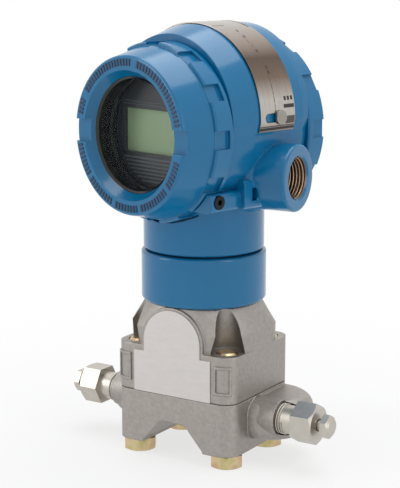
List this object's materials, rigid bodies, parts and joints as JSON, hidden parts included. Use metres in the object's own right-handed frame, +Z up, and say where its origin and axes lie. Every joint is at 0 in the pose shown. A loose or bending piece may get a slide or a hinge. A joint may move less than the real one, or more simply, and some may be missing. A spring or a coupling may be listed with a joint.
{
  "type": "differential pressure transmitter",
  "caption": "Pressure transmitter: round two-sided housing with display window on a neck, cast sensor module and coplanar flange with ports, bolts and side vent valves.",
  "frame": {"origin": "midway between the two process ports, on the bottom face of the flange", "axes": "+Z up along the neck, +X along the line of the ports towards the high-pressure side, -Y towards the side with the module's label"},
  "size_m": [0.16, 0.1109, 0.2262],
  "materials": {
    "blue_paint": "gloss polyurethane paint over cast aluminium",
    "cast_steel": "satin cast stainless steel",
    "zinc_steel": "yellow zinc plating",
    "valve_steel": "bright turned stainless steel",
    "label_metal": "matt metal label",
    "plate_metal": "brushed stainless sheet",
    "screw_steel": "bright steel",
    "diaphragm_steel": "polished thin sheet",
    "cell_steel": "turned stainless steel",
    "seal_white": "matt white fluoropolymer ring",
    "seal_black": "matt rubber",
    "window_glass": "clear toughened glass",
    "retainer_black": "matt black ring",
    "bezel_plastic": "fine ribbed black plastic",
    "display_glass": "grey-green liquid crystal panel",
    "board_green": "solder-masked circuit board",
    "standoff_brass": "nickel-free turned brass",
    "terminal_plastic": "black moulded plastic",
    "button_plastic": "dark rubbery plastic"
  },
  "bodies": {
    "module": {"coplanar_flange": "cast_steel", "sensor_module": "cast_steel", "flange_bolt_1": "zinc_steel", "flange_bolt_2": "zinc_steel", "flange_bolt_3": "zinc_steel", "flange_bolt_4": "zinc_steel", "vent_seat_high": "valve_steel", "vent_seat_low": "valve_steel", "process_seal_high": "seal_white", "process_seal_low": "seal_white", "isolator_high": "diaphragm_steel", "isolator_low": "diaphragm_steel", "module_label": "label_metal", "pressure_cell": "cell_steel", "sensor_board": "board_green", "sensor_collar": "blue_paint", "neck_seal": "seal_black"},
    "housing": {"housing": "blue_paint", "housing_set_screw": "screw_steel", "cover_jam_screw": "screw_steel", "display_bezel": "bezel_plastic", "display_panel": "display_glass", "display_board": "board_green", "electronics_board": "board_green", "board_standoff_1": "standoff_brass", "board_standoff_2": "standoff_brass", "board_standoff_3": "standoff_brass", "display_pillar_right": "standoff_brass", "display_pillar_left": "standoff_brass", "terminal_block": "terminal_plastic", "terminal_screw_1": "screw_steel", "terminal_screw_2": "screw_steel", "terminal_screw_3": "screw_steel", "ground_screw": "screw_steel", "name_plate_screw_right": "screw_steel", "name_plate_screw_left": "screw_steel", "conduit_plug": "zinc_steel"},
    "front_oring": {"front_cover_oring": "seal_black"},
    "front_cover": {"front_cover": "blue_paint", "front_cover_glass": "window_glass", "glass_retainer": "retainer_black"},
    "rear_oring": {"rear_cover_oring": "seal_black"},
    "rear_cover": {"rear_cover": "blue_paint"},
    "vent_stem_high": {"vent_stem_high": "valve_steel"},
    "vent_stem_low": {"vent_stem_low": "valve_steel"},
    "name_plate": {"name_plate": "plate_metal"},
    "zero_button": {"zero_button": "button_plastic"},
    "span_button": {"span_button": "button_plastic"}
  },
  "joints": [
    {"name": "housing_turn", "type": "hinge", "parent": "module", "child": "housing", "pos_m": [0, 0, 0.11], "axis": [0, 0, 1], "range_deg": [-167.2, 192.8]},
    {"name": "front_cover_advance", "type": "slide", "parent": "housing", "child": "front_oring", "axis": [-0.2215, -0.9751, 0], "range_m": [0, 0.01201]},
    {"name": "front_cover_turn", "type": "hinge", "parent": "front_oring", "child": "front_cover", "pos_m": [-0.00665, -0.02925, 0.1648], "axis": [-0.2215, -0.9751, 0], "range_deg": [0, 2160]},
    {"name": "rear_cover_advance", "type": "slide", "parent": "housing", "child": "rear_oring", "axis": [0.2215, 0.9751, 0], "range_m": [0, 0.01201]},
    {"name": "rear_cover_turn", "type": "hinge", "parent": "rear_oring", "child": "rear_cover", "pos_m": [0.00665, 0.02925, 0.1648], "axis": [0.2215, 0.9751, 0], "range_deg": [0, 2160]},
    {"name": "vent_stem_high_turn", "type": "hinge", "parent": "module", "child": "vent_stem_high", "pos_m": [0.07, -0.005, 0.018], "axis": [1, 0, 0], "range_deg": [0, 360]},
    {"name": "vent_stem_low_turn", "type": "hinge", "parent": "module", "child": "vent_stem_low", "pos_m": [-0.07, -0.005, 0.018], "axis": [-1, 0, 0], "range_deg": [0, 360]},
    {"name": "name_plate_slide", "type": "slide", "parent": "housing", "child": "name_plate", "axis": [0.2215, 0.9751, 0], "range_m": [0, 0.008]},
    {"name": "zero_button_press", "type": "slide", "parent": "housing", "child": "zero_button", "axis": [0, 0, -1], "range_m": [0, 0.0015], "stiffness_N_per_m": 400},
    {"name": "span_button_press", "type": "slide", "parent": "housing", "child": "span_button", "axis": [0, 0, -1], "range_m": [0, 0.0015], "stiffness_N_per_m": 400}
  ],
  "couplings": [
    {"joint": "front_cover_advance", "follows": "front_cover_turn", "m_per_rad": 0.00031831},
    {"joint": "rear_cover_advance", "follows": "rear_cover_turn", "m_per_rad": 0.00031831}
  ]
}
